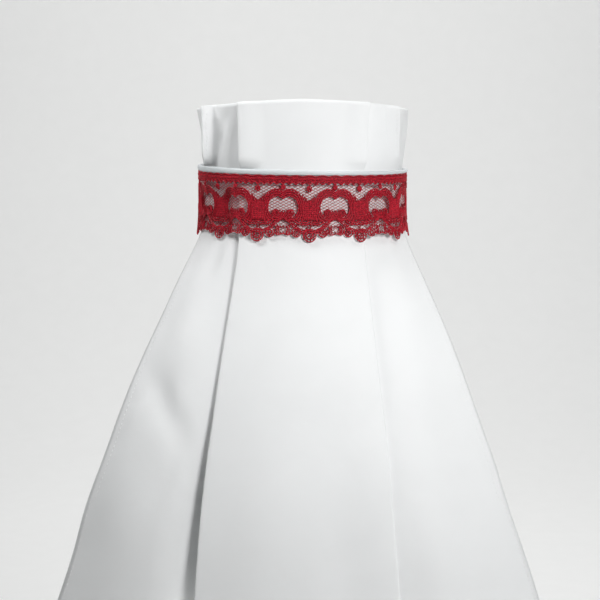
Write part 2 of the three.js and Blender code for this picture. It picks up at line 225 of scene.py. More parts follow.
def on_lace(points):
    """Where points of the lace lie. Each is how far along, how far below the top edge, and how far out."""
    along, below, out = np.asarray(points, float).reshape(-1, 3).T
    angle = np.interp(along, LACE_LENGTHS, LACE_ANGLES)
    low = np.maximum(0, 2 * below / LACE_WIDTH - 1)
    # the free edge lifts a little off the recessed right wing, and lies a little in waves
    lift = 0.9 * np.exp(-(((angle - 50) / 9) ** 2)) + 0.22 * np.sin(along / REPEAT * 2 * math.pi * 1.5)
    flare = (lace_flare(angle) + lift) * low**2
    return round_neck(angle, lace_grow(angle, below) + flare + out, lace_top(angle) - below)


def level_at(z):
    """The front's measures at one height, eased between the table's rows."""
    rows = LEVELS[:, 0]
    k = int(np.clip(np.searchsorted(rows, z) - 1, 0, len(rows) - 2))
    slopes = np.gradient(LEVELS, rows, axis=0)
    span = rows[k + 1] - rows[k]
    t = (z - rows[k]) / span
    a, b = LEVELS[k], LEVELS[k + 1]
    u, v = slopes[k] * span, slopes[k + 1] * span
    curve = (2 * t**3 - 3 * t**2 + 1) * a + (t**3 - 2 * t**2 + t) * u
    return curve + (3 * t**2 - 2 * t**3) * b + (t**3 - t**2) * v


def dent_at(x, z):
    """How deep the front's cloth is dented."""
    total = np.zeros(np.broadcast(x, z).shape)
    for dent_x, dent_z, along, across, lean, depth in DENTS:
        turn = math.radians(lean)
        dx, dz = x - dent_x, z - dent_z
        far = (dz * math.cos(turn) - dx * math.sin(turn)) / along
        wide = (dx * math.cos(turn) + dz * math.sin(turn)) / across
        total += depth * np.exp(-(far**2) - wide**2)
    return total


def side_stops(fold, end, underlap, sink, groove, proud):
    """One side of the cloth from the middle outwards, as places along the arc and depths below the panel."""
    r = FOLD_RADIUS
    deep, spread = groove
    inner = fold - underlap
    turns = np.linspace(0, math.pi, 8)[1:-1]
    panel = np.linspace(0, fold - r, 27)[1:]
    back = np.linspace(fold - r, inner, 7)
    under = np.linspace(inner, fold, 9)[:-1]
    wing = fold + (end - fold) * np.linspace(0, 1, 33) ** 1.25
    along = [panel, fold - r + r * np.sin(turns), back, inner - r * np.sin(turns), under, wing]
    opened = deep * np.exp(-(((wing - fold) / spread) ** 2))
    laid = lerp(PLEAT_DEPTH, sink, smooth(wing, fold, min(fold + WING_RISE, end)))
    depth = [-proud * smooth(panel, inner, fold - r), r - r * np.cos(turns) - proud]
    depth += [2 * r - proud * smooth(back, inner, fold - r), 3 * r - r * np.cos(turns)]
    depth += [PLEAT_DEPTH + deep * smooth(under, inner, fold), laid + opened]
    return np.concatenate(along), np.concatenate(depth)


def front_row(z):
    """The middle of the cloth's wall at one height.

    Returns its points, how far along the unfolded cloth each lies, and how far from the cloth's side edge.
    """
    _, left_edge, left_pleat, right_pleat, right_edge, middle_y, edge_y, wrap, sink, drop = level_at(z)
    wrap = math.radians(wrap)
    deep = (edge_y - middle_y) / (1 - math.cos(wrap))
    underlap = lerp(UNDERLAP_TOP, UNDERLAP_HEM, (TOP - z) / (TOP - HEM))
    turns = np.linspace(0, wrap, 81)
    opening = float(smooth(-z, OPENS_FROM, OPENS_TO)) ** OPENS_CURVE
    lifted, raised = float(smooth(z, LIP_FROM, LIP_TO)), float(smooth(z, PROUD_FROM, PROUD_TO))
    sides = (
        (-1, -left_edge, -left_pleat - PROUD_IN * raised, GROOVE_LEFT, LIP_LEFT, PROUD_LEFT),
        (1, right_edge, right_pleat, GROOVE_RIGHT, LIP_RIGHT, PROUD_RIGHT),
    )
    parts = []
    for sign, edge, pleat, (groove, near, wider), (lip, forward, inward), proud in sides:
        wide = edge / math.sin(wrap)
        middles = (turns[1:] + turns[:-1]) / 2
        steps = np.hypot(wide * np.cos(middles), deep * np.sin(middles)) * (turns[1] - turns[0])
        lengths = np.concatenate([[0], np.cumsum(steps)])
        fold = float(np.interp(math.asin(pleat / wide), turns, lengths))
        opened = (groove * opening, near + wider * opening)
        along, depth = side_stops(fold, lengths[-1], underlap, sink, opened, proud * raised)
        turn = np.interp(along, lengths, turns)
        x = sign * wide * np.sin(turn)
        y = middle_y + deep * (1 - np.cos(turn))
        normal = points_of(sign * deep * np.sin(turn), -wide * np.cos(turn))
        normal /= np.linalg.norm(normal, axis=1)[:, None]
        depth = depth + dent_at(x, z)
        low = z - drop * (along / lengths[-1]) ** DROP_CURVE
        lifting = lifted * np.clip(1 - (lengths[-1] - along) / lip, 0, 1) ** LIP_CURVE
        x = x - sign * inward * lifting
        y = y - forward * lifting
        points = points_of(x - depth * normal[:, 0], y - depth * normal[:, 1], low)
        run = run_lengths(points[:, :2])
        parts.append((points, sign * (run + along[0]), lengths[-1] - along))
    (left, left_run, left_rim), (right, right_run, right_rim) = parts
    middle = np.array([[0, middle_y + float(dent_at(0.0, z)), z]])
    points = np.concatenate([left[::-1], middle, right])
    run = np.concatenate([left_run[::-1], [0], right_run])
    rim = np.concatenate([left_rim[::-1], [np.inf], right_rim])
    return points, run, rim


# The materials.


class Recipe:
    """A procedural material that is put together node by node."""

    def __init__(self, name, color, roughness, **sockets):
        self.material = bpy.data.materials.new(name)
        self.material.use_nodes = True
        self.tree = self.material.node_tree
        self.shader = self.tree.nodes["Principled BSDF"]
        self.shader.inputs["Base Color"].default_value = (*color, 1)
        self.shader.inputs["Roughness"].default_value = roughness
        for socket, value in sockets.items():
            self.shader.inputs[socket.replace("_", " ")].default_value = value
        self.height = None

    def node(self, kind, values=(), **settings):
        """A new node with its sockets' values and its settings."""
        made = self.tree.nodes.new(kind)
        for name, value in dict(values).items():
            made.inputs[name].default_value = value
        for name, value in settings.items():
            setattr(made, name, value)
        return made

    def link(self, start, end):
        self.tree.links.new(start, end)

    def places(self, source, scale=(1, 1, 1), turn=0.0):
        """The piece's own UV map or Object coordinates, scaled."""
        if source == "UV":
            start = self.node("ShaderNodeUVMap", uv_map="Flat").outputs["UV"]
        else:
            start = self.node("ShaderNodeTexCoord").outputs["Object"]
        mapping = self.node("ShaderNodeMapping", {"Scale": scale, "Rotation": (0, 0, turn)})
        self.link(start, mapping.inputs["Vector"])
        return mapping.outputs["Vector"]

    def noise(self, places, scale, detail, distortion=0.0):
        values = {"Scale": scale, "Detail": detail, "Distortion": distortion}
        made = self.node("ShaderNodeTexNoise", values)
        self.link(places, made.inputs["Vector"])
        return made.outputs["Fac"]

    def bands(self, places, period, direction):
        """Smooth ridges, one each period of the given coordinates."""
        scale = math.pi / (10 * period)
        made = self.node("ShaderNodeTexWave", {"Scale": scale}, bands_direction=direction)
        self.link(places, made.inputs["Vector"])
        return made.outputs["Fac"]

    def added(self, a, b):
        made = self.node("ShaderNodeMath", operation="ADD")
        self.link(a, made.inputs[0])
        self.link(b, made.inputs[1])
        return made.outputs[0]

    def tint(self, factor, dark, light, low=0.35, high=0.65):
        ramp = self.node("ShaderNodeValToRGB")
        ramp.color_ramp.elements[0].position, ramp.color_ramp.elements[1].position = low, high
        ramp.color_ramp.elements[0].color = (*dark, 1)
        ramp.color_ramp.elements[1].color = (*light, 1)
        self.link(factor, ramp.inputs["Fac"])
        self.link(ramp.outputs["Color"], self.shader.inputs["Base Color"])

    def vary_roughness(self, factor, low, high):
        span = self.node("ShaderNodeMapRange", {"To Min": low, "To Max": high})
        self.link(factor, span.inputs["Value"])
        self.link(span.outputs["Result"], self.shader.inputs["Roughness"])

    def bump(self, factor, depth, strength):
        made = self.node("ShaderNodeBump", {"Strength": strength, "Distance": depth})
        self.link(factor, made.inputs["Height"])
        if self.height is not None:
            self.link(self.height, made.inputs["Normal"])
        self.height = made.outputs["Normal"]
        self.link(self.height, self.shader.inputs["Normal"])


def shaded(color, share):
    return tuple(min(1.0, c * share) for c in color)


def white_cloth(name, color):
    cloth = Recipe(name, color, 0.62, Sheen_Weight=0.18, Sheen_Roughness=0.4, Specular_IOR_Level=0.35)
    flat = cloth.places("UV")
    twill = cloth.places("UV", turn=math.radians(45))
    warp = cloth.bands(flat, 0.00042, "X")
    weft = cloth.bands(flat, 0.00048, "Y")
    ribs = cloth.bands(twill, 0.00075, "X")
    slubs = cloth.noise(cloth.places("UV", (1, 9, 1)), 420, 2)
    soft = cloth.noise(cloth.places("OBJECT"), 26, 3, 0.4)
    cloth.tint(soft, shaded(color, 0.972), color, 0.3, 0.7)
    cloth.vary_roughness(slubs, 0.56, 0.68)
    cloth.bump(soft, 0.0007, 0.35)
    cloth.bump(slubs, 0.00002, 0.5)
    cloth.bump(cloth.added(ribs, cloth.added(warp, weft)), 0.000025, 0.6)


def satin(name, color):
    ribbon = Recipe(name, color, 0.38, Sheen_Weight=0.12, Specular_IOR_Level=0.5)
    bias = ribbon.places("UV", turn=math.radians(38))
    threads = ribbon.bands(bias, 0.0004, "X")
    puckers = ribbon.noise(ribbon.places("UV", (0.35, 1, 1), math.radians(38)), 520, 2)
    ribbon.tint(puckers, shaded(color, 0.95), color)
    ribbon.vary_roughness(puckers, 0.32, 0.46)
    ribbon.bump(puckers, 0.00012, 0.5)
    ribbon.bump(threads, 0.00001, 0.5)


def lace_yarn(name, dark, light, grain):
    yarn = Recipe(name, dark, 0.55, Sheen_Weight=0.1, Sheen_Roughness=0.5, Specular_IOR_Level=0.22)
    yarn.shader.inputs["Sheen Tint"].default_value = (1.0, 0.3, 0.22, 1)
    fibre_and_painted_light = yarn.noise(yarn.places("OBJECT"), grain, 3, 0.6)
    # Painted shade and painted highlight: the noise mixes the dark and light yarn colours at random, and also
    # roughens and bumps the yarn.
    yarn.tint(fibre_and_painted_light, dark, light, 0.38, 0.66)
    yarn.vary_roughness(fibre_and_painted_light, 0.48, 0.66)
    yarn.bump(fibre_and_painted_light, 0.00012, 0.6)


def pile_tape(name, color):
    tape = Recipe(name, color, 0.9, Sheen_Weight=0.4, Sheen_Roughness=0.6, Specular_IOR_Level=0.2)
    loops = tape.noise(tape.places("OBJECT"), 1900, 4, 1.2)
    tape.tint(loops, shaded(color, 0.8), shaded(color, 1.04))
    tape.bump(loops, 0.0005, 0.9)


def sewing_thread(name, color):
    thread = Recipe(name, color, 0.5, Sheen_Weight=0.2)
    twist = thread.noise(thread.places("OBJECT"), 2600, 1)
    thread.tint(twist, shaded(color, 0.93), color)
    thread.bump(twist, 0.00006, 0.5)


def studio_paper(name, color):
    paper = Recipe(name, color, 0.9, Specular_IOR_Level=0.1)
    grain = paper.noise(paper.places("OBJECT"), 40, 4)
    paper.tint(grain, shaded(color, 0.99), color)
    paper.bump(grain, 0.0002, 0.1)
    return paper.material


# Laying, walling and finishing the pieces.


def laid_grid(columns, rows, place, flat, keep=None, weight=None):
    """A sheet of cells whose corners place(i, j) lays.

    flat(i, j) is where each lies on the flat cloth, in metres, and becomes the UV map. keep(i, j) says which
    cells stay, and weight(i, j) is each corner's share of the wall.
    """
    sheet = bmesh.new()
    uv = sheet.loops.layers.uv.new("Flat")
    hem = sheet.verts.layers.deform.verify()
    bmesh.ops.create_grid(sheet, x_segments=columns, y_segments=rows, size=0.5)
    if keep is not None:
        gone = []
        for face in sheet.faces:
            middle = face.calc_center_median()
            if not keep(int((middle.x + 0.5) * columns), int((middle.y + 0.5) * rows)):
                gone.append(face)
        bmesh.ops.delete(sheet, geom=gone, context="FACES")
    sheet.verts.index_update()
    corners = np.array([v.co for v in sheet.verts])
    i = np.rint((corners[:, 0] + 0.5) * columns).astype(int)
    j = np.rint((corners[:, 1] + 0.5) * rows).astype(int)
    flats = flat(i, j)
    for face in sheet.faces:
        face.smooth = True
        for loop in face.loops:
            loop[uv].uv = flats[loop.vert.index]
    if weight is not None:
        for v, share in zip(sheet.verts, weight(i, j)):
            v[hem][0] = float(share)
    for v, point in zip(sheet.verts, place(i, j)):
        v.co = Vector(point) * MM
    return sheet


def placed(name, data):
    """A new object in the scene."""
    made = bpy.data.objects.new(name, data)
    bpy.context.scene.collection.objects.link(made)
    return made


def as_piece(sheet, name, material):
    mesh = bpy.data.meshes.new(name)
    sheet.to_mesh(mesh)
    sheet.free()
    return dressed(placed(name, mesh), material)


def dressed(piece, material):
    """Gives a piece its material and body."""
    piece.data.materials.append(bpy.data.materials[material])
    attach(piece, "root")
    return piece


def walled(piece, thickness, rim=0.0, group=""):
    """Gives a sheet its wall, thinner where the vertex group says so, and rounds the wall's rim."""
    wall = piece.modifiers.new("Wall", "SOLIDIFY")
    wall.thickness, wall.offset, wall.vertex_group = thickness * MM, 0, group
    if rim:
        edge = piece.modifiers.new("Rim", "BEVEL")
        edge.width, edge.segments = rim * MM, 2
        edge.limit_method, edge.angle_limit = "ANGLE", math.radians(60)


def threads(name, runs, radius, sides, material, slot):
    """A piece of closed round threads, one through each run of points."""
    line = bpy.data.curves.new(name, "CURVE")
    line.dimensions = "3D"
    line.bevel_depth = radius * MM
    line.bevel_resolution = sides
    line.use_fill_caps = True
    for run in runs:
        spline = line.splines.new("POLY")
        spline.points.add(len(run) - 1)
        tall = np.ones((len(run), 4))
        tall[:, :3] = np.asarray(run) * MM
        spline.points.foreach_set("co", tall.ravel())
    shape = placed(name + "_line", line)
    mesh = bpy.data.meshes.new_from_object(shape.evaluated_get(bpy.context.evaluated_depsgraph_get()))
    mesh.name = name
    bpy.data.objects.remove(shape)
    mesh.polygons.foreach_set("use_smooth", [True] * len(mesh.polygons))
    mesh.materials.clear()
    return dressed(placed(name, mesh), material)


def stitched(name, runs, material):
    """Short stitches laid along runs of points with outward normals."""
    pitch, length, radius = 2.6, 1.8, 0.17
    seam = bmesh.new()
    for points, normals in runs:
        points, normals = np.asarray(points), np.asarray(normals)
        far = run_lengths(points)
        for start in np.arange(pitch / 2, far[-1] - length, pitch):
            ends = [[np.interp(start + d, far, points[:, k]) for k in range(3)] for d in (0, length)]
            normal = Vector([np.interp(start, far, normals[:, k]) for k in range(3)]).normalized()
            a, b = Vector(ends[0]), Vector(ends[1])
            along = (b - a).normalized()
            across = normal.cross(along).normalized()
            turn = Matrix([along, across, along.cross(across)]).transposed().to_4x4()
            stretch = Matrix.Diagonal((length / 2, radius, radius, 1))
            place = Matrix.Translation((a + b) / 2 * MM) @ turn @ stretch
            bmesh.ops.create_icosphere(seam, subdivisions=1, radius=MM, matrix=place)
    for face in seam.faces:
        face.smooth = True
    return as_piece(seam, name, material)


# The lace's figures, half a repeat of each. A point is its distance from a window's middle and its depth
# below the top edge.
ARCHES = [
    [(0, 8.8), (0.9, 8.0), (2.3, 7.3), (4.1, 7.1), (6.2, 7.6), (8.2, 8.9), (9.7, 10.9), (10.6, 13.2),
     (11.0, 16.0), (10.9, 19.2)],
    [(0, 9.9), (0.9, 9.1), (2.3, 8.4), (4.0, 8.2), (5.9, 8.7), (7.6, 9.9), (8.9, 11.6), (9.8, 13.7),
     (10.2, 16.2), (10.1, 19.2)],
    [(0, 11.0), (0.9, 10.2), (2.2, 9.6), (3.8, 9.5), (5.5, 9.9), (7.0, 11.0), (8.2, 12.5), (9.0, 14.4),
     (9.3, 16.6), (9.2, 19.6)],
    [(0, 12.3), (0.8, 11.6), (2.1, 10.9), (3.6, 10.8), (5.1, 11.2), (6.5, 12.2), (7.6, 13.6), (8.3, 15.3),
     (8.5, 17.3), (8.2, 19.4)],
]
LEGS = [
    [(8.2, 19.4), (7.6, 20.9), (6.6, 21.9), (5.2, 22.7), (3.6, 22.9), (2.2, 22.4), (1.2, 21.4), (0.5, 20.2)],
    [(9.2, 19.6), (8.6, 21.4), (7.4, 22.8), (5.7, 23.7), (3.8, 23.9), (2.0, 23.4), (0.7, 22.2), (0, 20.8)],
    [(10.1, 19.2), (9.7, 21.6), (9.0, 23.2), (8.0, 24.2)],
    [(10.9, 19.2), (10.7, 22.0), (10.2, 24.4), (9.2, 25.8)],
]
SWAGS = [
    [(0, 22.4), (1.4, 23.6), (3.2, 25.2), (5.4, 27.2), (8.0, 29.0), (11.2, 30.2), (14.2, 30.5)],
    [(0, 21.5), (1.6, 22.9), (3.6, 24.5), (5.9, 26.4), (8.4, 28.1), (11.4, 29.3), (14.2, 29.6)],
    [(5.8, 24.4), (7.4, 25.6), (9.6, 26.3), (12.0, 26.4), (14.2, 25.8)],
    [(6.8, 23.8), (8.6, 24.8), (10.6, 25.3), (12.4, 25.2), (14.2, 24.6)],
]
WINDOW_FOOT = [
    (7.5, 20.6), (6.6, 20.9), (6.2, 19.6), (5.5, 18.5), (4.3, 17.9), (3.1, 18.0), (2.1, 18.7), (1.2, 18.9),
    (0, 18.7),
]
WINDOW = ARCHES[3] + WINDOW_FOOT
# A scroll beside each window's middle, and the edge's rings from a column's middle: place, depth, radius.
SCROLL, RINGS = (4.0, 20.2, 2.2), [(0.0, 32.3, 3.4), (7.1, 30.7, 2.4)]
# The dots over a column and a window: depth, half width and half height.
COLUMN_DOT, WINDOW_DOT = (6.9, 1.45, 1.8), (6.1, 1.2, 1.3)
# Spots of bare net: distance from a column's middle, depth, half width and half height.
OPEN_SPOTS = [
    (4.0, 27.9, 2.9, 1.0), (14.2, 25.4, 3.3, 1.4), (14.2, 29.2, 2.4, 1.0), (8.6, 22.1, 1.3, 0.7),
    (8.6, 28.6, 1.2, 0.7),
]
HALF = REPEAT / 2
# How far apart the points of a cord lie.
CORD_STEP = 0.8


def lower_edge(s):
    """The depth of the scalloped edge at a distance from the column's middle."""
    base = np.interp(s, [0, 3.6, 4.4, 9.4, 10.2, 14.3], [33.5, 31.2, 30.8, 30.9, 31.8, 31.5])
    for middle, depth, radius in ((0.0, 32.3, 3.7), (7.1, 30.6, 2.7)):
        inside = np.clip(radius**2 - (s - middle) ** 2, 0, None)
        base = np.maximum(base, np.where(inside > 0, depth + np.sqrt(inside), 0))
    return base


def picot_at(along):
    """How high the top edge's small loops stand."""
    return 0.65 * np.abs(np.cos(math.pi * (along - COLUMN_FROM) / (REPEAT / 4))) ** 2


def heading_edge(along):
    """The depth of the heading's lower edge, with its small teeth."""
    tooth = np.abs(np.cos(math.pi * (along - COLUMN_FROM) / (REPEAT / 8)))
    return 3.5 + 1.3 * tooth**4


def inside_polygon(x, y, corners):
    """Which places lie inside a closed polygon."""
    inside = np.zeros(np.shape(x), bool)
    for (x0, y0), (x1, y1) in zip(corners, corners[1:] + corners[:1]):
        crosses = (y0 > y) != (y1 > y)
        with np.errstate(divide="ignore", invalid="ignore"):
            inside ^= crosses & (x < (x1 - x0) * (y - y0) / (y1 - y0 + 1e-12) + x0)
    return inside


def worked(along, below):
    """Where the lace is dense clothwork, and not bare net."""
    s = np.abs((along - COLUMN_FROM + HALF) % REPEAT - HALF)
    w = HALF - s
    arch_w, arch_v = np.array(ARCHES[0]).T
    strip_end = np.interp(w, arch_w, arch_v) - 0.3
    strip_end = np.where(w > 10.4, 13.3 - 0.9 * s, strip_end)
    open_net = (below > heading_edge(along)) & (below < strip_end)
    for dot_s, (dot_v, wide, tall) in ((0.0, COLUMN_DOT), (HALF, WINDOW_DOT)):
        open_net &= ((s - dot_s) / wide) ** 2 + ((below - dot_v) / tall) ** 2 > 1
    window = [(-w0, v0) for w0, v0 in WINDOW[::-1]] + WINDOW[1:]
    open_net |= inside_polygon(w, below, window)
    for spot_s, spot_v, wide, tall in OPEN_SPOTS:
        open_net |= ((s - spot_s) / wide) ** 2 + ((below - spot_v) / tall) ** 2 < 1
    return (below < lower_edge(s) - 0.1) & ~open_net


def eased_run(corners):
    """A smooth run through corners."""
    corners = np.array(corners, float)
    padded = np.vstack([2 * corners[0] - corners[1], corners, 2 * corners[-1] - corners[-2]])
    made = []
    for a, b, c, d in zip(padded, padded[1:], padded[2:], padded[3:]):
        count = max(1, int(round(np.linalg.norm(c - b) / CORD_STEP)))
        t = (np.arange(count) / count)[:, None]
        bend, twist = 2 * a - 5 * b + 4 * c - d, 3 * b - a - 3 * c + d
        made.append(0.5 * (2 * b + (c - a) * t + bend * t**2 + twist * t**3))
    return np.vstack([*made, corners[-1:]])


def ring_run(x, y, radius, start=0.0, sweep=2 * math.pi, shrink=1.0):
    """A run round a ring, or in along a scroll that shrinks."""
    count = max(8, int(abs(sweep) * radius / CORD_STEP))
    turn = start + sweep * np.linspace(0, 1, count + 1)
    size = radius * np.linspace(1, shrink, count + 1)
    return points_of(x + size * np.cos(turn), y + size * np.sin(turn))


def repeat_runs():
    """The cords of one repeat, from a window's middle to the next on both sides of its column at 0."""
    runs = []

    def both(run, out=0.72):
        """Adds a run given by its distance from the column's middle, and its mirror image."""
        for sign in (-1, 1):
            runs.append(points_of(sign * run[:, 0], run[:, 1], out))

    def from_window(corners, out=0.72):
        run = eased_run(corners)
        run[:, 0] = HALF - run[:, 0]
        both(run, out)

    for corners in ARCHES:
        from_window(corners)
    for corners in LEGS:
        from_window(corners, 0.78)
    for corners in SWAGS:
        from_window(corners, 0.8)
    w, v, radius = SCROLL
    both(ring_run(HALF - w, v, radius, 0.3, 3.4 * math.pi, 0.3), 0.85)
    for s, v, radius in RINGS:
        turns = (1, -1) if s else (1,)
        for sign in turns:
            for size in (1.0, 0.52):
                ring = ring_run(sign * s, v, radius * size)
                runs.append(points_of(*ring.T, 0.82))
    for s in (0.45, 1.35, 2.25, 3.1):
        both(eased_run([(s, 13.4 + (s > 1.4) * 0.6), (s, 17), (s * 1.06, 21), (s * 1.3, 23.8)]), 0.7)
    for v in np.arange(14.6, 23.5, 1.15):
        line = [(-3.2, v, 0.62), (-1.6, v + 0.15, 0.66), (0, v, 0.62), (1.6, v + 0.15, 0.66), (3.2, v, 0.62)]
        runs.append(np.array(line))
    for s, v0, v1 in ((10.9, 27.4, 31.5), (12.0, 27.2, 31.6)):
        both(eased_run([(s, v0), (s, v1)]), 0.8)
    both(eased_run([(9.9, 31.0), (10.8, 31.9), (12.4, 31.9), (13.4, 31.4), (HALF, 31.3)]), 0.85)
    both(eased_run([(3.6, 31.2), (4.3, 30.9), (4.9, 31.3)]), 0.85)
    return runs


def along_lace(run, shift):
    """A run moved along to its repeat and cut at the lace's ends, or nothing."""
    moved = run + np.array([shift, 0, 0])
    moved = moved[(moved[:, 0] >= 0.2) & (moved[:, 0] <= LACE_LENGTH - 0.2)]
    return [moved] if len(moved) > 2 else []


# The settings and the pieces.


def color_setting(name, description, default):
    return FloatVectorProperty(
        name=name, description=description, subtype="COLOR", size=3, min=0, max=1, default=default
    )


def power_setting(name, description, default):
    return FloatProperty(name=name, description=description, unit="POWER", default=default, min=0, max=200)


class StockClothSettings(bpy.types.PropertyGroup):
    white: color_setting("Cloth colour", "Colour of the band and the front", (0.88, 0.888, 0.892))
    ribbon: color_setting("Ribbon colour", "Colour of the satin ribbon", (0.66, 0.695, 0.71))
    band_wall: FloatProperty(
        name="Band thickness", description="Thickness of the stiffened neck band", unit="LENGTH",
        default=0.0015, min=0.0005, max=0.002,
    )
    front_wall: FloatProperty(
        name="Front thickness", description="Thickness of the front's cloth at its hems", unit="LENGTH",
        default=0.00095, min=0.0003, max=0.001,
    )
    front_rows: IntProperty(
        name="Front rows", description="Rows of the front's mesh from its hem to its top",
        default=132, min=40, max=200,
    )


class StockLaceSettings(bpy.types.PropertyGroup):
    # The dark yarn colour is painted shade and the light one painted highlight of one crimson; each lace
    # material mixes them at random by noise.
    dark: color_setting("Dark yarn", "Colour of the lace's yarn in its hollows", (0.24, 0.003, 0.013))
    light: color_setting("Light yarn", "Colour of the lace's yarn where it is fullest", (0.56, 0.013, 0.033))
    cord_radius: FloatProperty(
        name="Cord radius", description="Half the thickness of the cords round the figures", unit="LENGTH",
        default=0.00031, min=0.0001, max=0.0005,
    )
    net_radius: FloatProperty(
        name="Net thread radius", description="Half the thickness of the net's thread", unit="LENGTH",
        default=0.00013, min=0.00005, max=0.0003,
    )
    meshes: IntProperty(
        name="Net meshes", description="Meshes of the net in one repeat of the lace", default=9, min=4, max=20
    )


class StockStageSettings(bpy.types.PropertyGroup):
    paper: color_setting("Backdrop colour", "Colour of the floor and backdrop", (0.92, 0.92, 0.915))
    key_power: power_setting("Key light", "Power of the light from the front right", 3.0)
    left_power: power_setting("Left light", "Power of the high light on the left", 1.15)
    right_power: power_setting("Right light", "Power of the high light on the right", 3.55)
    backdrop_power: power_setting("Backdrop light", "Power of the light on the backdrop", 36.0)
    back_power: power_setting("Back light", "Power of the light from behind", 0.9)
    surround: FloatProperty(
        name="Surround", description="Strength of the light from all round", default=0.05, min=0, max=2
    )
    lens: FloatProperty(
        name="Lens", description="Focal length of the camera", unit="CAMERA", default=103.5, min=20, max=300
    )


class STOCK_OT_neck_band(bpy.types.Operator):
    """Makes the standing neck band that overlaps behind"""

    bl_idname = "stock.neck_band"
    bl_label = "Neck band"

    def execute(self, context):
        settings = context.scene.stock_cloth
        columns, rows = 230, 26

        def place(i, j):
            angle = lerp(-BAND_END, BAND_END, i / columns)
            z = BAND_HEIGHT * j / rows
            grow = BAND_WALL / 2 + flap_at(angle) + band_flare(angle, z)
            return round_neck(angle, grow, z)

        def flat(i, j):
            return points_of(i / columns * BAND_FLAT[0], j / rows * BAND_HEIGHT * MM)

        sheet = laid_grid(columns, rows, place, flat)
        band = as_piece(sheet, "neck_band_cloth", "white_woven_cloth")
        walled(band, settings.band_wall / MM, rim=BAND_RIM)
        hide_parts("neck_band")
        return {"FINISHED"}


class STOCK_OT_closing_pad(bpy.types.Operator):
    """Makes the pad of pile tape between the ends of the band"""

    bl_idname = "stock.closing_pad"
    bl_label = "Closing pad"

    def execute(self, context):
        columns, rows = 24, 40
        half_angle, low, high, wide = 9, 12.6, 50.4, 18.5

        def place(i, j):
            angle = 180 + lerp(-half_angle, half_angle, i / columns)
            z = lerp(low, high, j / rows)
            return round_neck(angle, BAND_WALL + CLEAR + PAD_LIFT / 2 + band_flare(angle, z), z)

        def flat(i, j):
            return points_of(i / columns * wide, j / rows * (high - low)) * MM

        sheet = laid_grid(columns, rows, place, flat)
        pad = as_piece(sheet, "closing_pad_tape", "white_pile_tape")
        walled(pad, PAD_WALL, rim=PAD_RIM)
        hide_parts("closing_pad")
        return {"FINISHED"}


class STOCK_OT_pleated_front(bpy.types.Operator):
    """Makes the front's cloth, pleated on the neck and flared on the chest"""

    bl_idname = "stock.pleated_front"
    bl_label = "Pleated front"

    def execute(self, context):
        settings = context.scene.stock_cloth
        rows = settings.front_rows
        heights = np.linspace(HEM, TOP, rows + 1)
        laid = [front_row(z) for z in heights]
        points = np.stack([row[0] for row in laid])
        runs = np.stack([row[1] for row in laid])
        rims = np.stack([row[2] for row in laid])
        columns = points.shape[1] - 1

        def flat(i, j):
            return points_of(runs[j, i], heights[j]) * MM

        def weight(i, j):
            doubled = (rims[j, i] < SIDE_HEM) | (heights[j] - HEM < LOW_HEM) | (TOP - heights[j] < TOP_HEM)
            return np.where(doubled, 1.0, SINGLE)

        sheet = laid_grid(columns, rows, lambda i, j: points[j, i], flat, weight=weight)
        front = as_piece(sheet, "front_cloth", "white_woven_cloth")
        front.vertex_groups.new(name="Hem")
        walled(front, settings.front_wall / MM, group="Hem")
        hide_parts("pleated_front")
        return {"FINISHED"}


class STOCK_OT_beaded_ribbon(bpy.types.Operator):
    """Makes the satin ribbon with its round bead"""

    bl_idname = "stock.beaded_ribbon"
    bl_label = "Beaded ribbon"

    def execute(self, context):
        columns, corners = 420, 30
        angles = np.linspace(LACE_FROM, LACE_TO, columns + 1)

        def place(i, j):
            angle = angles[i]
            bead = 2.8 - 0.7 * np.sin(np.radians(angle))
            back, proud, low = -CLEAR - RIBBON_WALL, 1.4, -5.2
            middle_x, middle_y = (back + proud) / 2, CLEAR + bead / 2
            half_x, half_y = (proud - back) / 2, bead / 2
            # up the flat ribbon's front, round the bead and down the ribbon's back
            turn = np.radians(lerp(-118, 196, (j - 3) / (corners - 6)))
            x = middle_x + half_x * np.cos(turn)
            y = middle_y + half_y * np.sin(turn)
            feet = [back, back + 0.55, back + 0.6, back]
            x = np.select([j == 0, j == 1, j == 2, j >= corners - 2], feet, x)
            x = np.where(j == corners - 1, back - 0.02, x)
            y = np.select([j == 0, j == 1, j == 2], [low, low, CLEAR * 0.2], y)
            y = np.select([j == corners - 2, j == corners - 1, j == corners], [CLEAR, -2.4, low], y)
            pucker = 0.035 * np.sin(angle * 3.1 + j * 0.5) * ((j > 3) & (j < corners - 3))
            return round_neck(angle, lace_grow(angle) + x + pucker, lace_top(angle) + y)

        def flat(i, j):
            return points_of(i / columns * RIBBON_FLAT[0], j / corners * RIBBON_FLAT[1])

        sheet = laid_grid(columns, corners, place, flat)
        bmesh.ops.remove_doubles(sheet, verts=sheet.verts, dist=1e-6)
        bmesh.ops.holes_fill(sheet, edges=[e for e in sheet.edges if e.is_boundary], sides=0)
        bmesh.ops.recalc_face_normals(sheet, faces=sheet.faces)
        ribbon = as_piece(sheet, "beaded_satin_ribbon", "white_satin")
        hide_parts("beaded_ribbon")
        return {"FINISHED"}


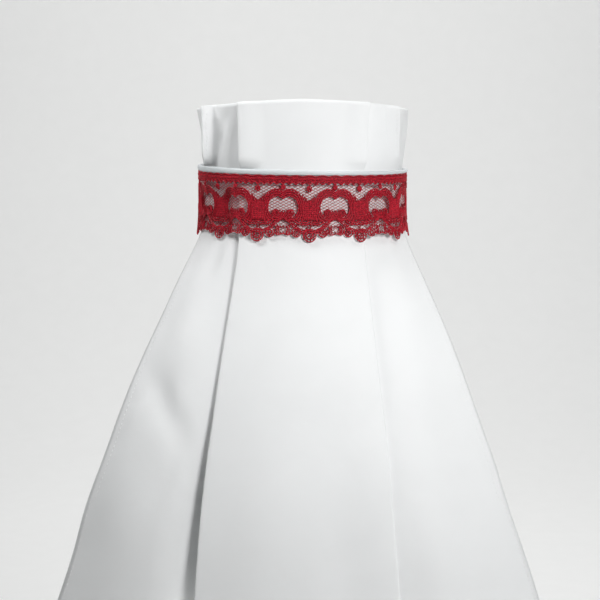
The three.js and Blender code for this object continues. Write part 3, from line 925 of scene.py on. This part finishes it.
class STOCK_OT_lace_net(bpy.types.Operator):
    """Makes the lace's net of fine threads"""

    bl_idname = "stock.lace_net"
    bl_label = "Lace net"

    def execute(self, context):
        settings = context.scene.stock_lace
        wide = REPEAT / settings.meshes
        tall = wide * 0.51
        runs = []
        low, high = 2.0, 33.5
        for lean in (-1, 1):
            for start in COLUMN_FROM + np.arange(-30, settings.meshes * REPEATS + 30) * wide:
                below = np.arange(low, high, tall / 2)
                along = start + lean * (below - low) * wide / tall
                out = 0.34 + lean * 0.08
                s = np.abs((along - COLUMN_FROM + HALF) % REPEAT - HALF)
                fits = (along > 0.1) & (along < LACE_LENGTH - 0.1) & (below < lower_edge(s) - 0.6)
                for part in unbroken(fits):
                    if len(part) > 1:
                        runs.append(on_lace(points_of(along[part], below[part], out)))
        # The net thread's material is a lighter copy of the lace's colours: painted highlight.
        threads("lace_net", runs, settings.net_radius / MM, 0, "crimson_net_thread_painted_highlight", "red_lace")
        return {"FINISHED"}


def unbroken(fits):
    """Index runs of the true values."""
    edges = np.flatnonzero(np.diff(np.concatenate([[0], fits.astype(int), [0]])))
    return [np.arange(a, b) for a, b in zip(edges[::2], edges[1::2])]


class STOCK_OT_lace_clothwork(bpy.types.Operator):
    """Makes the lace's dense clothwork between the cords"""

    bl_idname = "stock.lace_clothwork"
    bl_label = "Lace clothwork"

    def execute(self, context):
        per_repeat, rows, wall = 52, 66, 0.24
        columns = per_repeat * REPEATS
        span, step = LACE_LENGTH / columns, LACE_WIDTH / rows

        def place(i, j):
            along, below = i * span, LACE_WIDTH - j * step
            picot = picot_at(along) * np.clip(1 - below / 2.4, 0, 1)
            woven = 0.1 * np.cos(math.pi * i) * np.cos(math.pi * j)
            return on_lace(points_of(along, below - picot, 0.5 + woven))

        def flat(i, j):
            return points_of(i * span, j * step) * MM

        i, j = np.meshgrid(np.arange(columns), np.arange(rows), indexing="ij")
        along, below = (i + 0.5) * span, LACE_WIDTH - (j + 0.5) * step
        dense = worked(along, below)
        swags_from, pinholes_from = 24.4, 1.5
        open_swags = (i % 3 > 0) & (j % 3 > 0) & (below > swags_from)
        pinholes = ((i + (j // 3) % 2) % 3 == 0) & (j % 3 == 0) & (below > pinholes_from)
        dense &= ~(open_swags | pinholes)
        sheet = laid_grid(columns, rows, place, flat, keep=lambda i, j: bool(dense[i, j]))
        # The clothwork's material is a darker copy of the lace's colours: painted shade between the cords.
        work = as_piece(sheet, "lace_clothwork", "crimson_clothwork_painted_shade")
        walled(work, wall)
        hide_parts("scalloped_lace")
        return {"FINISHED"}


class STOCK_OT_lace_cords(bpy.types.Operator):
    """Makes the cords that outline the lace's figures"""

    bl_idname = "stock.lace_cords"
    bl_label = "Lace cords"

    def execute(self, context):
        settings = context.scene.stock_lace
        runs = []
        for repeat in range(-1, REPEATS + 1):
            for run in repeat_runs():
                runs += along_lace(run, COLUMN_FROM + repeat * REPEAT)
        along = np.arange(0.3, LACE_LENGTH - 0.3, 0.7)
        bumps = picot_at(along)
        for depth, sway, out in ((0.3, 0.0, 0.75), (1.7, 0.6, 0.8), (1.7, -0.6, 0.84), (3.0, 0.25, 0.74)):
            wave = sway * np.sin(2 * math.pi * along / (REPEAT / 12))
            edge = bumps if depth < 1 else 0.4 * bumps
            runs.append(points_of(along, depth - edge + wave, out))
        runs.append(points_of(along, heading_edge(along) - 0.1, 0.76))
        for k in range(-1, REPEATS * 2 + 2):
            v, wide, tall = COLUMN_DOT if k % 2 == 0 else WINDOW_DOT
            middle = COLUMN_FROM + k * HALF
            for share in (0.85, 0.4):
                ring = ring_run(middle, v, 1.0) - (middle, v)
                ring = ring * (wide * share, tall * share) + (middle, v)
                runs += along_lace(points_of(*ring.T, 0.74), 0)
        laid = [on_lace(run) for run in runs]
        # The cords' material is a lighter copy of the lace's colours: painted highlight.
        threads("lace_cords", laid, settings.cord_radius / MM, 1, "crimson_cord_painted_highlight", "red_lace")
        return {"FINISHED"}


class STOCK_OT_stitches(bpy.types.Operator):
    """Makes the seams' stitches"""

    bl_idname = "stock.stitches"
    bl_label = "Stitches"

    def execute(self, context):
        runs = []
        from_side, from_ends, lift = 5.4, 3.0, 0.5
        heights = np.linspace(HEM + from_ends, TOP - from_ends, 90)
        rows = [front_row(z) for z in heights]
        for side in (-1, 1):
            points, normals = [], []
            for row, _, rim in rows:
                half = len(rim) // 2
                near = np.flatnonzero(rim < from_side)
                k = near[near < half][-1] if side < 0 else near[near > half][0]
                step = row[k + 1] - row[k - 1]
                normal = np.array([step[1], -step[0], 0]) / np.hypot(step[0], step[1])
                points.append(row[k] + lift * normal)
                normals.append(normal)
            runs.append((points, normals))
        stitched("hem_stitches", runs, "white_sewing_thread")
        seams = []
        for angle, z in (
            (np.linspace(-190, 150, 400), np.full(400, 59.5)),
            (np.full(60, -188.5), np.linspace(4, 59, 60)),
        ):
            out = BAND_WALL + flap_at(angle) + band_flare(angle, z) + 0.02
            outward = round_neck(angle, 1.0, 0.0) - round_neck(angle, 0.0, 0.0)
            seams.append((round_neck(angle, out, z), outward))
        stitched("band_stitches", seams, "white_sewing_thread")
        return {"FINISHED"}


class STOCK_OT_stage(bpy.types.Operator):
    """Makes the floor, the backdrop, the lights and the camera"""

    bl_idname = "stock.stage"
    bl_label = "Stage"

    def execute(self, context):
        settings = context.scene.stock_stage
        floor_z, back_y, turn_radius, turn_steps = -0.45, 2.2, 0.9, 16
        half_width, front_y, wall_top = 3.0, -3.0, 3.0
        stage = bmesh.new()
        profile = [(front_y, floor_z), (back_y - turn_radius, floor_z)]
        for k in range(1, turn_steps + 1):
            turn = math.radians(90 * k / turn_steps)
            before, above = 1 - math.sin(turn), 1 - math.cos(turn)
            profile.append((back_y - turn_radius * before, floor_z + turn_radius * above))
        profile.append((back_y, wall_top))
        corners = [stage.verts.new((-half_width, y, z)) for y, z in profile]
        line = [stage.edges.new(pair) for pair in zip(corners, corners[1:])]
        swept = bmesh.ops.extrude_edge_only(stage, edges=line)
        moved = [part for part in swept["geom"] if isinstance(part, bmesh.types.BMVert)]
        bmesh.ops.translate(stage, verts=moved, vec=(2 * half_width, 0, 0))
        bmesh.ops.recalc_face_normals(stage, faces=stage.faces)
        for face in stage.faces:
            face.smooth = True
        mesh = bpy.data.meshes.new("stage")
        stage.to_mesh(mesh)
        stage.free()
        backdrop = placed("stage", mesh)
        mesh.materials.append(studio_paper("backdrop_paper", tuple(settings.paper)))

        def area_light(name, place, target, size, power):
            light = bpy.data.lights.new(name, "AREA")
            light.size, light.energy = size, power
            lamp = placed(name, light)
            lamp.location = place
            lamp.rotation_mode = "QUATERNION"
            lamp.rotation_quaternion = (Vector(target) - Vector(place)).to_track_quat("-Z", "Y")

        area_light("key_light", (0.29, -0.58, 0.20), (0, -0.07, 0.0), 0.18, settings.key_power)
        area_light("left_light", (-0.28, -0.13, 0.34), (-0.06, -0.07, -0.05), 0.16, settings.left_power)
        area_light("right_light", (0.8, -0.1, 1.0), (0, -0.07, -0.05), 0.5, settings.right_power)
        area_light("backdrop_light", (0, 0.9, 1.9), (0, back_y, 0.1), 1.2, settings.backdrop_power)
        area_light("back_light", (0.5, 0.95, 0.6), (0, 0.05, 0.0), 0.3, settings.back_power)

        world = bpy.data.worlds.new("studio")
        world.use_nodes = True
        nodes, links = world.node_tree.nodes, world.node_tree.links
        lit, seen = nodes["Background"], nodes.new("ShaderNodeBackground")
        lit_color, seen_strength = (0.9, 1, 0.98, 1), 0.7
        lit.inputs["Color"].default_value = lit_color
        lit.inputs["Strength"].default_value = settings.surround
        seen.inputs["Color"].default_value = (*settings.paper, 1)
        seen.inputs["Strength"].default_value = seen_strength
        path, mix = nodes.new("ShaderNodeLightPath"), nodes.new("ShaderNodeMixShader")
        links.new(path.outputs["Is Camera Ray"], mix.inputs[0])
        links.new(lit.outputs[0], mix.inputs[1])
        links.new(seen.outputs[0], mix.inputs[2])
        links.new(mix.outputs[0], nodes["World Output"].inputs["Surface"])
        context.scene.world = world
        context.scene.view_settings.view_transform = "Standard"

        camera = bpy.data.cameras.new("camera")
        camera.lens = settings.lens
        camera.sensor_width = 36
        camera.clip_start, camera.clip_end = 0.05, 20
        eye_place, eye_tilt = (-0.00145, -1.0, 0.040), math.radians(85)
        eye = placed("camera", camera)
        eye.location = eye_place
        eye.rotation_euler = (eye_tilt, 0, 0)
        context.scene.camera = eye
        return {"FINISHED"}


class STOCK_PT_panel(bpy.types.Panel):
    bl_idname = "STOCK_PT_panel"
    bl_label = "Riding stock"
    bl_space_type = "VIEW_3D"
    bl_region_type = "UI"
    bl_category = "Stock"

    def draw(self, context):
        for group, cls in SETTINGS.items():
            box = self.layout.box()
            for name in cls.__annotations__:
                box.prop(getattr(context.scene, group), name)
        for operator in OPERATORS:
            self.layout.operator(operator.bl_idname)


SETTINGS = {
    "stock_cloth": StockClothSettings,
    "stock_lace": StockLaceSettings,
    "stock_stage": StockStageSettings,
}
OPERATORS = [
    STOCK_OT_neck_band, STOCK_OT_closing_pad, STOCK_OT_pleated_front, STOCK_OT_beaded_ribbon,
    STOCK_OT_lace_net, STOCK_OT_lace_cords, STOCK_OT_lace_clothwork, STOCK_OT_stitches, STOCK_OT_stage,
]
CLASSES = (*SETTINGS.values(), *OPERATORS, STOCK_PT_panel)


def register():
    for cls in CLASSES:
        bpy.utils.register_class(cls)
    for name, cls in SETTINGS.items():
        setattr(bpy.types.Scene, name, PointerProperty(type=cls))


def unregister():
    for name in SETTINGS:
        delattr(bpy.types.Scene, name)
    for cls in reversed(CLASSES):
        bpy.utils.unregister_class(cls)


def make_materials(scene):
    cloth, lace = scene.stock_cloth, scene.stock_lace
    white_cloth("white_woven_cloth", tuple(cloth.white))
    satin("white_satin", tuple(cloth.ribbon))
    pile_tape("white_pile_tape", (0.78, 0.78, 0.76))
    sewing_thread("white_sewing_thread", (0.86, 0.865, 0.865))
    # The net is a lighter copy of the lace's colours: painted highlight.
    lace_yarn("crimson_net_thread_painted_highlight", lace.dark, shaded(lace.light, 1.05), 2400)
    # The clothwork is a darker copy of the lace's colours: painted shade between the cords.
    lace_yarn("crimson_clothwork_painted_shade", shaded(lace.dark, 0.6), shaded(lace.light, 0.75), 1700)
    # The cords are a lighter copy of the lace's colours: painted highlight.
    lace_yarn("crimson_cord_painted_highlight", tuple(lace.dark), shaded(lace.light, 1.12), 1300)


def main():
    register()
    make_materials(bpy.context.scene)
    for operator in OPERATORS:
        family, name = operator.bl_idname.split(".")
        getattr(getattr(bpy.ops, family), name)()


if __name__ == "__main__":
    main()
